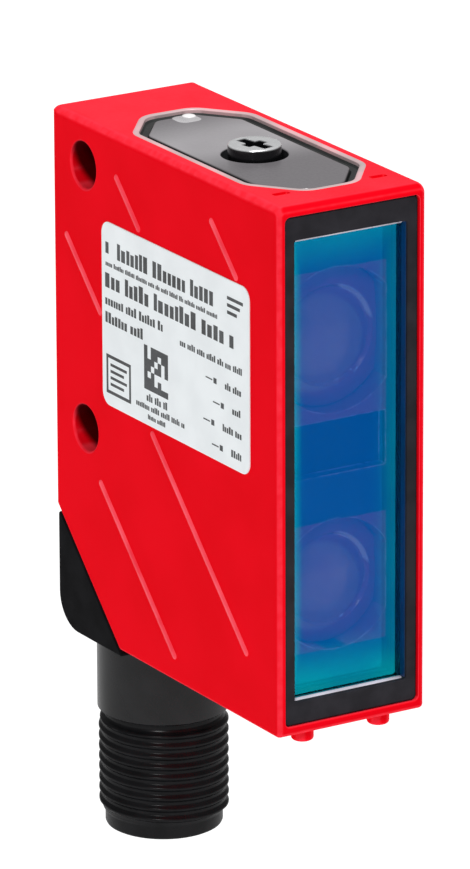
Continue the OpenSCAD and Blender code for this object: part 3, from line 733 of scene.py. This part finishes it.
def housing():
    """The red housing with its bores, nut pockets, window openings and the two notches on its roof."""
    shell = housing_body()
    recess_low = (-FRAME_HALF - TOUCH, FRAME_BASE - TOUCH)
    recess = rectangle(recess_low, (FRAME_HALF + TOUCH, FRAME_TOP + TOUCH), 0.5 * MM)
    cover_seat, well_inset = BODY_HEIGHT - 1.4 * MM, 1.3 * MM
    combine(
        shell,
        housing_cavity(),
        flared(recess, from_front, 0, FRAME_BACK, 0.1 * MM),
        flared(window_outline(), from_top, BODY_HEIGHT, cover_seat, 0.3 * MM),
        slab("light_well", window_outline(well_inset), from_top, ROOF_UNDER - OVER, BODY_HEIGHT),
    )
    nut_width, nut_depth = mm(7.1, 3.4)
    for height in HOLE_HEIGHTS:
        place = (HOLE_DEPTH, height)
        bore, pocket = circle(place, HOLE_RADIUS), hexagon(place, nut_width)
        combine(shell,
                flared(bore, from_side, -HALF_WIDTH, HALF_WIDTH + OVER, 0.3 * MM),
                flared(pocket, from_side, HALF_WIDTH, HALF_WIDTH - nut_depth, 0.25 * MM))
    swivel_bore = 4.5 * MM
    through = [(swivel_bore, -OVER), (swivel_bore, SLANT_WALL + 2 * OVER)]
    combine(shell, on_swivel(through, "bore"))
    middle, half, front, back, deep = mm(4.9, 0.8, 3.4, 4.1, 0.35)
    for side in (-1, 1):
        notch = rectangle((side * middle - half, front), (side * middle + half, back), 0.15 * MM, 3)
        combine(shell, flared(notch, from_top, BODY_HEIGHT, BODY_HEIGHT - deep, 0.06 * MM, 2))
    install(shell, "red_lacquer", "housing")


def side_ribs():
    """Diagonal ridges on the label side. Each is the number of its line and the depths of its ends."""
    ribs = [(0, 17.5, 30), (1, 5.4, 21), (1, 29.9, 35.6), (2, 23.2, 26.9), (3, 6.9, 10.9)]
    first, pitch, radius, height = mm(-15.1, 16.1, 0.32, 0.14)
    parts = []
    for line, near, far in ribs:
        ends = [at(-HALF_WIDTH, depth, depth + first + pitch * line) for depth in mm(near, far)]
        parts.append(ridge(*ends, radius, height))
    install(join("side_ribs", parts), "red_lacquer", finish=RIB_HIGHLIGHT)


def bottom_pegs():
    """Two short locating pegs under the front edge and the strip between them."""
    depth, reach, radius, low, high = mm(2, 3.9, 1, -1.2, 0.5)
    parts = [
        slab("peg", circle((side * reach, depth), radius, 40), from_top, low, high, low_round=0.3 * MM)
        for side in (-1, 1)
    ]
    strip_half, strip_low = mm(0.4, -0.4)
    strip = rectangle((-reach, depth - strip_half), (reach, depth + strip_half), 0.1 * MM, 2)
    parts.append(slab("strip", strip, from_top, strip_low, high, low_round=0.1 * MM))
    install(join("bottom_pegs", parts), "red_lacquer")


# ---- Label ----

LABEL_FACE = label_low.x
LABEL_FRONT, LABEL_BACK = depth_of(label_low), depth_of(label_high)
LABEL_BASE, LABEL_TOP = height_of(label_low) - 0.2 * MM, height_of(label_high) + 0.25 * MM


def label_film():
    outline = rectangle((LABEL_FRONT, LABEL_BASE), (LABEL_BACK, LABEL_TOP), 1.2 * MM, 10)
    film = slab("label_plate", outline, from_side, LABEL_FACE, label_high.x, low_round=0.03 * MM, steps=3)
    install(film, "label_film", "type_label")


class Print:
    """Plain bars on the label, placed in millimetres from its upper left corner as it is read."""

    BAR_SHARE = 0.72        # of each step in a row, the rest is the gap

    def __init__(self, seed):
        self.bm = bmesh.new()
        self.random = random.Random(seed)

    def bar(self, left, top, width, height):
        """A printed bar, a hair thick."""
        front = LABEL_BACK - (left + width) * MM
        low = LABEL_TOP - (top + height) * MM
        skin = 0.012 * MM
        corners = []
        for x in (LABEL_FACE + skin, LABEL_FACE - skin):
            for d, h in ((0, 0), (width, 0), (width, height), (0, height)):
                corners.append(self.bm.verts.new(at(x, front + d * MM, low + h * MM)))
        for face in ((0, 1, 2, 3), (4, 5, 6, 7), (0, 1, 5, 4), (1, 2, 6, 5), (2, 3, 7, 6), (3, 0, 4, 7)):
            self.bm.faces.new([corners[i] for i in face])

    def words(self, left, top, width, height, widest=0.62):
        """A row of uneven bars in groups, like a line of print too small to read."""
        x, right = left, left + width
        while x < right - 0.2 * height:
            for _ in range(self.random.randint(3, 8)):
                step = height * self.random.uniform(0.45, widest)
                tall = self.random.choice((1.0, 0.72, 0.72, 0.86))
                if x + step > right:
                    break
                self.bar(x, top + height * (1 - tall), step * self.BAR_SHARE, height * tall)
                x += step
            x += height * 0.45


def label_print():
    """Generic rows of bars where a type label has its lines, with a code block and a wiring column."""
    ink = Print(seed=7)
    # Head lines: left, top, width and height of each, and how wide its widest bar is.
    for line in (
        (0.7, 1.7, 1.4, 1.2), (2.7, 1.6, 17.2, 1.5), (0.7, 3.6, 19.0, 0.45), (0.6, 4.5, 22.0, 1.55, 0.72),
        (0.6, 6.8, 10.0, 0.85), (0.6, 8.3, 7.0, 1.0), (13.3, 7.5, 10.6, 0.6),
    ):
        ink.words(*line)
    for row in range(3):
        ink.bar(21.2, 1.5 + 0.65 * row, 2.6 - 0.5 * row, 0.3)
    # Wiring column: a wire, its terminal and its name on each row.
    for row, (left, wide) in enumerate(((17.6, 6.3), (18.8, 5.0), (17.2, 6.7), (18.6, 5.2))):
        top = 9.4 + 1.95 * row
        ink.words(left + 3.2, top, wide - 3.4, 0.65)
        ink.bar(left, top + 0.3, 1.1, 0.12)
        ink.bar(left + 1.3, top + 0.1, 0.5, 0.5)
    # Code block: random cells with a full left column and a full lowest row.
    cell, count, code_left, code_top = 0.58, 7, 7.2, 9.6
    for row in range(count):
        for column in range(count):
            if ink.random.random() < 0.55 or row == count - 1 or column == 0:
                ink.bar(code_left + cell * column, code_top + cell * row, cell, cell)
    ink.words(7.6, 14.0, 3.6, 0.7)
    # A framed field with four lines in it.
    for bar in ((0.7, 12.2, 4.2, 0.3), (0.7, 15.5, 4.2, 0.3), (0.7, 12.5, 0.3, 3.0), (4.6, 12.5, 0.3, 3.0)):
        ink.bar(*bar)
    for row in range(4):
        ink.bar(1.4, 12.95 + 0.6 * row, 2.8 - 0.5 * (row % 2), 0.26)
    ink.words(5.8, 15.0, 8.4, 0.55)
    ink.words(7.8, 15.9, 3.0, 0.45)
    install(object_from(ink.bm, "label_print"), "label_film", finish=INK)


# ---- Front window ----

GLASS_FACE = depth_of(glass_low) - 0.1 * MM
GLASS_BACK = depth_of(glass_high)
VIEW_HALF = glass_high.x - 0.4 * MM
VIEW_BASE = height_of(glass_low) + 0.45 * MM
VIEW_TOP = height_of(glass_high) - 0.6 * MM


def front_ring(half, base, top, grow, radius, depth):
    """A ring of a rounded rectangle that is centred on the width and grown all round, at one depth."""
    low, high = (-half - grow, base - grow), (half + grow, top + grow)
    return rectangle(low, high, radius).ring(from_front(depth))


def window_frame():
    """The black frame: rounded outer and inner rims, with a pocket for the glass behind."""
    outside, view = (FRAME_HALF, FRAME_BASE, FRAME_TOP), (VIEW_HALF, VIEW_BASE, VIEW_TOP)
    outer_corner, inner_corner, outer_rim, inner_rim = mm(0.45, 0.25, 0.18, 0.12)
    pocket, pocket_corner, pocket_face = 0.42 * MM, 0.15 * MM, GLASS_FACE - 0.01 * MM
    rings = [front_ring(*outside, 0, outer_corner, FRAME_BACK)]
    for outset, travel in reversed(soft_edge(outer_rim)):
        rings.append(front_ring(*outside, outset, outer_corner + outset, FRAME_FACE + travel))
    for outset, travel in soft_edge(inner_rim):
        rings.append(front_ring(*view, -outset, inner_corner - outset, FRAME_FACE + travel))
    rings += [
        front_ring(*view, 0, inner_corner, pocket_face),
        front_ring(*view, pocket, pocket_corner, pocket_face),
        front_ring(*view, pocket, pocket_corner, FRAME_BACK),
    ]
    install(loft("window_frame", rings, hoop=True), "black_frame", "front_frame")


def glass_pane():
    low, high = (glass_low.x, height_of(glass_low)), (glass_high.x, height_of(glass_high))
    outline, rim = rectangle(low, high, 0.12 * MM, 3), 0.05 * MM
    pane = slab("glass_pane", outline, from_front, GLASS_FACE, GLASS_BACK, rim, rim, 2)
    install(pane, "coated_glass", "front_glass")


def bead_strip(height, tall, deep):
    """A rounded pale strip along one end of the glass, a painted highlight line; tall is negative where it hangs
    down.
    """
    sunk = math.copysign(TOUCH, -tall)
    profile = [(0, sunk)]
    profile += [(deep * math.sin(a), tall * math.cos(a)) for a in sweep(6)]
    profile.append((deep, sunk))
    rings = []
    for x in (-VIEW_HALF, VIEW_HALF):
        rings.append([at(x, GLASS_FACE - forward, height + up) for forward, up in profile])
    return loft("bead", rings)


def glass_beads():
    """Thin pale beads at the lower and the upper end of the glass, painted highlight lines."""
    parts = [bead_strip(VIEW_BASE, *mm(0.1, 0.42)), bead_strip(VIEW_TOP, *mm(-0.42, 0.12))]
    install(join("glass_beads", parts), "seal_rubber", finish=HIGHLIGHT_BEAD)


def glass_edges():
    """Thin dark blue sheets on the two upright walls of the opening, from the glass forward: a painted reflection
    of the blue glass.
    """
    front, skin, end_gap = FRAME_FACE + 0.25 * MM, 0.03 * MM, 0.1 * MM
    parts = []
    for side in (-1, 1):
        across = sorted((side * VIEW_HALF, side * (VIEW_HALF - skin)))
        outline = rectangle((across[0], front), (across[1], GLASS_FACE), 0.01 * MM, 1)
        parts.append(slab("edge", outline, from_top, VIEW_BASE + end_gap, VIEW_TOP - end_gap))
    install(join("glass_edges", parts), "seal_rubber", finish=WALL_REFLECTION)


def optic_lens(name, node, dome):
    """A lens with a raised middle, a stepped outer zone and trimmed sides."""
    low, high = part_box(node)
    centre_z = (low.z + high.z) / 2
    radius = (high.z - low.z) / 2
    back = high.y - low.y
    rise, facets = 1.3 * MM, 14
    sphere = (dome * dome + rise * rise) / (2 * rise)
    profile = []
    for k in range(facets + 1):
        out = dome * k / facets
        profile.append((out, sphere - math.sqrt(sphere * sphere - out * out)))
    profile += [
        (dome + 0.1 * MM, rise + 0.1 * MM), (dome + 0.35 * MM, rise - 0.25 * MM),
        (radius - 0.15 * MM, rise + 0.2 * MM), (radius, rise + 0.35 * MM),
        (radius, back - 0.1 * MM), (radius - 0.1 * MM, back), (0.0, back),
    ]
    rings = []
    for out, depth in profile:
        turns = full_turn(128 if out else 1)
        rings.append([(out * math.cos(a), low.y + depth, centre_z + out * math.sin(a)) for a in turns])
    lens = loft(name, rings)
    grown = Vector((0, OVER, OVER))
    combine(lens, block("trim", low - grown, high + grown), operation="INTERSECT")
    install(lens, "lens_plastic", node, finish=violet_lens(name, centre_z, dome), angle=25)


# ---- Top: cover, seal, lamp lens and spindle ----

PLATE_INSET = 1.25 * MM


def cover_plate():
    """The smoked cover: a low border, a raised plate with a rounded rim, and the hole of the spindle."""
    border, seat, foot_inset = COVER_TOP - 0.7 * MM, BODY_HEIGHT - 1.35 * MM, 1.3 * MM
    stations = [
        (foot_inset, ROOF_UNDER), (foot_inset, seat), (COVER_INSET, seat), (COVER_INSET, border),
        (PLATE_INSET, border),
    ]
    rim = reversed(soft_edge(0.2 * MM))
    stations += [(PLATE_INSET - outset, COVER_TOP - travel) for outset, travel in rim]
    plate = window_loft("cover_plate", stations)
    hole = circle((0, SPINDLE_DEPTH), 2.95 * MM)
    combine(plate, flared(hole, from_top, COVER_TOP, ROOF_UNDER - OVER, 0.15 * MM))
    install(plate, "smoked_cover", "operating_window")


def cover_gasket():
    """The dark gasket in the groove around the plate."""
    low, high = COVER_TOP - 0.72 * MM, COVER_TOP - 0.3 * MM
    stations = [
        (COVER_INSET - 0.05 * MM, low), (COVER_INSET - 0.05 * MM, high + 0.25 * MM),
        (COVER_INSET + 0.12 * MM, high), (PLATE_INSET - 0.15 * MM, high - 0.1 * MM),
        (PLATE_INSET + 0.02 * MM, low),
    ]
    install(window_loft("cover_gasket", stations, hoop=True), "seal_rubber")


def cover_lip():
    """The pale silicone lip between the housing and the cover, with a rounded crown."""
    low = height_of(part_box("window_seal")[0])
    outer, inner = -0.18 * MM, COVER_INSET - 0.02 * MM
    middle, half = (outer + inner) / 2, (inner - outer) / 2
    wall_inset, crown_rise = mm(0.05, 0.16)
    crown_base = BODY_HEIGHT + 0.03 * MM - crown_rise
    stations = [(wall_inset, low), (wall_inset, BODY_HEIGHT - 0.35 * MM)]
    for a in sweep(8, math.pi):
        stations.append((middle - half * math.cos(a), crown_base + crown_rise * math.sin(a)))
    stations.append((inner, low))
    install(window_loft("cover_lip", stations, hoop=True), "grey_silicone", "window_seal")


def lamp_lens():
    """The clear end of the light guide, which crosses the groove at the back of the cover."""
    back = COVER_BACK - 0.45 * MM
    low, high = COVER_TOP - 0.6 * MM, COVER_TOP + 0.02 * MM
    middle, half, length, corner = mm(0.7, 1.35, 2.6, 0.95)
    outline = rectangle((middle - half, back - length), (middle + half, back), corner)
    lens = slab("lamp_lens", outline, from_top, low, high, high_round=0.3 * MM)
    install(lens, "guide_clear", angle=50)


def lamp_tip():
    """The brighter rounded tip at the back of the lamp lens."""
    centre = (1.3 * MM, COVER_BACK - 1.1 * MM)
    radius, sunk, rise, top_share, steps = 0.62 * MM, 0.1 * MM, 0.16 * MM, 0.95, 32
    rings = [circle(centre, radius, steps).ring(from_top(COVER_TOP - sunk))]
    for a in sweep(5, math.pi / 2 * top_share):
        height = COVER_TOP + rise * math.sin(a)
        rings.append(circle(centre, radius * math.cos(a), steps).ring(from_top(height)))
    install(loft("lamp_tip", rings), "guide_clear", finish=LAMP_TIP, angle=60)


def spindle():
    """The adjusting spindle: slotted head with a chamfer, neck, clip groove, screw and journal."""
    top, low = height_of(spindle_high), height_of(spindle_low)
    head, neck, screw, journal = mm(2.35, 1.6, 1.25, 0.8)
    under, clip_top, clip_low, neck_end, shoulder = mm(47.25, 44.75, 44.35, 44.05, 28.1)
    ease, chamfer, tip = mm(0.22, 0.1, 0.2)
    profile = [(head - ease - 0.5 * MM, top)]
    profile += [(head - ease + ease * math.sin(a), top - ease + ease * math.cos(a)) for a in sweep(4)]
    profile += [
        (head, under + chamfer), (head - chamfer, under), (neck, under), (neck, clip_top),
        (screw, clip_top), (screw, clip_low), (neck, clip_low), (neck, neck_end), (screw, neck_end),
        (screw, shoulder), (journal, shoulder), (journal, low + tip), (journal - tip, low),
    ]
    centre = at(0, SPINDLE_DEPTH, 0)
    piece = lathe("spindle_screw", profile, centre)
    half, deep, corner = mm(0.55, 0.8, 0.08)
    for length, turn in ((1.85 * MM, 12), (1.15 * MM, 102)):
        slot = rectangle((-half, -length), (half, length), corner, 2)
        cutter = flared(slot, lambda z: (lambda u, v: Vector((u, v, z))), top, top - deep, corner, 3)
        cutter.data.transform(Matrix.Translation(centre) @ Matrix.Rotation(math.radians(turn), 4, "Z"))
        combine(piece, cutter)
    install(piece, "nickel", "adjusting_spindle", body="spindle")


# ---- Connector ----

NECK_RADIUS, NECK_END = mm(6, -8.1)
SWIVEL_GAP = 0.25 * MM
SLANT_LINE = SLANT_START + SWIVEL_GAP * math.sqrt(2)


def elbow():
    """The wedge below the 45 degree face, with the neck and the spigot that turns in the housing."""
    under, back, half = -0.65 * MM, BODY_DEPTH - 0.15 * MM, HALF_WIDTH - 0.1 * MM
    corners = [(SLANT_LINE + under, under), (back, under), (back, back - SLANT_LINE)]
    outline, rim = Outline(corners, mm(0.15, 3.2, 0.25), 10), 0.15 * MM
    wedge = slab("elbow_shell", outline, from_side, -half, half, rim, rim, 4)

    inside_wedge = 2 * MM
    profile = [(NECK_RADIUS - rim, NECK_END), (NECK_RADIUS, NECK_END + rim), (NECK_RADIUS, inside_wedge)]
    neck = lathe("neck", profile, PLUG_CENTRE)
    reach = 40 * MM
    corners = [
        (SLANT_LINE - reach, -reach), (BODY_DEPTH + reach, -reach),
        (BODY_DEPTH + reach, BODY_DEPTH + reach - SLANT_LINE),
    ]
    below_slant = slab("below", Outline(corners, 0.1 * MM, 1), from_side, -2 * HALF_WIDTH, 2 * HALF_WIDTH)
    combine(neck, below_slant, operation="INTERSECT")
    combine(wedge, neck, operation="UNION")

    spigot, groove, clip_groove, groove_width, clip_width, chamfer = mm(4.45, 3.85, 3.95, 0.9, 0.5, 0.2)
    end, clip_low = SLANT_WALL + 1.75 * MM, SLANT_WALL + 0.75 * MM
    seal_low = SLANT_WALL / 2 - groove_width / 2
    profile = [
        (spigot, -2 * MM), (spigot, seal_low), (groove, seal_low), (groove, seal_low + groove_width),
        (spigot, seal_low + groove_width), (spigot, clip_low), (clip_groove, clip_low),
        (clip_groove, clip_low + clip_width), (spigot, clip_low + clip_width), (spigot, end - chamfer),
        (spigot - chamfer, end),
    ]
    combine(wedge, on_swivel(profile, "spigot"), operation="UNION")

    channel, seat, seat_top, channel_start = mm(2.2, 4.9, -2, 0.4)
    combine(
        wedge,
        on_swivel([(channel, channel_start), (channel, end + OVER)], "channel"),
        lathe("drop", [(channel, seat_top - OVER), (channel, BODY_DEPTH - PLUG_DEPTH)], PLUG_CENTRE),
        lathe("seat", [(seat, NECK_END - OVER), (seat, seat_top)], PLUG_CENTRE),
    )
    install(wedge, "black_plastic", "connector_elbow", body="connector")


def thread_depth(angle, along, pitch):
    """How far a round-crested thread lies below its crest, from 0 to 1."""
    crest_share, flank_share, fullness = 0.18, 0.55, 0.85
    phase = (along / pitch + angle / (2 * math.pi)) % 1.0
    slope = abs(2 * phase - 1)
    return min(1.0, max(0.0, (slope - crest_share) / flank_share)) ** fullness


def sleeve():
    """The threaded sleeve: relief groove, M12 x 1 thread with eased ends, plain end ring and socket."""
    low, high = height_of(sleeve_low), height_of(sleeve_high)
    half_length = PLUG["dims"]["length_mm"] * MM / 2
    middle = PLUG["pos_m"][2] - BOTTOM_Z
    start, end = middle + half_length, middle - half_length
    pitch, deep, ease = mm(1, 0.28, 0.45)
    relief, ring, inner, plug_fit = mm(5.4, 5.35, 4.4, 4.85)
    under_neck, inner_rim = NECK_END - 0.02 * MM, 0.12 * MM
    # Each station is a radius, a height and the share of the thread's depth there.
    stations = [
        (plug_fit, high, 0), (plug_fit, under_neck, 0), (relief, under_neck, 0),
        (relief, start + 0.05 * MM, 0),
    ]
    for along in sweep(170, end - start, start):
        share = min(1.0, (start - along) / ease, (along - end) / ease)
        stations.append((PLUG_RADIUS - (1 - share) * (PLUG_RADIUS - relief), along, share))
    stations += [
        (ring, end - 0.15 * MM, 0), (ring, low + 0.3 * MM, 0), (ring - 0.08 * MM, low + 0.12 * MM, 0),
        (ring - 0.3 * MM, low, 0), (inner + inner_rim, low, 0), (inner, low + inner_rim, 0), (inner, high, 0),
    ]
    rings = []
    for radius, along, share in stations:
        points = []
        for a in full_turn(144):
            out = radius - share * deep * thread_depth(a, along, pitch)
            points.append(PLUG_CENTRE + Vector((out * math.cos(a), out * math.sin(a), along)))
        rings.append(points)
    shell = loft("plug_sleeve", rings, hoop=True)
    key_half, key_out, key_in, key_top, key_round = mm(0.5, 0.15, 0.55, -9.35, 0.15)
    wall = PLUG_DEPTH + inner
    key = rectangle((-key_half, wall - key_in), (key_half, wall + key_out), 0.1 * MM, 3)
    key = slab("key", key, from_top, low + OVER, key_top, key_round, steps=3)
    piece = join("plug_sleeve", [shell, key])
    install(piece, "black_plastic", "threaded_sleeve", body="connector", finish=SLEEVE_BLACK, angle=50)


# ---- Stage, light and camera ----

def stage():
    """A pale floor well below the object, so that only a soft trace of shadow reaches it."""
    drop, reach, grid = 120 * MM, 12.0, 8
    level = CAD_BOX[0][2] - drop
    bm = bmesh.new()
    bmesh.ops.create_grid(bm, x_segments=grid, y_segments=grid, size=reach)
    bmesh.ops.translate(bm, verts=bm.verts, vec=(0, 0, level))
    floor = object_from(bm, "floor")
    floor.data.materials.append(moulded(
        "pale_floor", (0.86, 0.86, 0.86), (0.88, 0.88, 0.88), (0.8, 0.9), grain=0.3, height=0.0, patch=2.0,
        Specular_IOR_Level=0.0))


def look_along(made, direction, roll=0.0):
    """Turns a light or a camera to look along a direction."""
    made.rotation_mode = "QUATERNION"
    made.rotation_quaternion = direction.to_track_quat("-Z", "Y") @ Quaternion((0, 0, 1), roll)


def sun(name, direction, strength, spread):
    """A broad soft light that shines along a direction; spread is its width in degrees."""
    data = bpy.data.lights.new(name, "SUN")
    data.energy, data.angle = strength, math.radians(spread)
    look_along(add(name, data), Vector(direction))


def lights():
    """A bright room, a broad light overhead and a key light from the front left."""
    world = bpy.data.worlds.new("studio")
    world.use_nodes = True
    background = world.node_tree.nodes["Background"].inputs
    background["Color"].default_value = (1, 1, 1, 1)
    background["Strength"].default_value = 0.32
    bpy.context.scene.world = world
    sun("overhead", (-0.15, 0.10, -1.0), 2.5, 20)
    sun("key", (0.55, 0.62, -0.62), 1.3, 12)


def camera():
    """The camera, as fitted to the edges of the housing in the photo: directions, a distance and a lens."""
    azimuth, elevation, roll = (math.radians(a) for a in (-31.47, 18.06, -0.21))
    middle, aim = Vector(mm(0, -13.7, -7.5)), Vector(mm(-0.61, -14.28, -9.99))
    distance, sensor_width, focal_length = 696.4 * MM, 36, 327.8
    level = math.cos(elevation)
    back = Vector((math.sin(azimuth) * level, -math.cos(azimuth) * level, math.sin(elevation)))
    data = bpy.data.cameras.new("camera")
    data.sensor_width, data.lens = sensor_width, focal_length
    made = add("camera", data)
    made.location = middle + back * distance
    look_along(made, aim - made.location, roll)
    bpy.context.scene.camera = made


camera()
lights()
stage()
bpy.context.scene.view_settings.view_transform = "Standard"

finish_frame_nodes()
housing()
side_ribs()
bottom_pegs()
label_film()
label_print()
window_frame()
glass_pane()
glass_beads()
glass_edges()
optic_lens("receiver_optic", "receiver_lens", 4.2 * MM)
optic_lens("emitter_optic", "emitter_lens", 3.9 * MM)
cover_plate()
cover_gasket()
cover_lip()
lamp_lens()
lamp_tip()
spindle()
elbow()
sleeve()
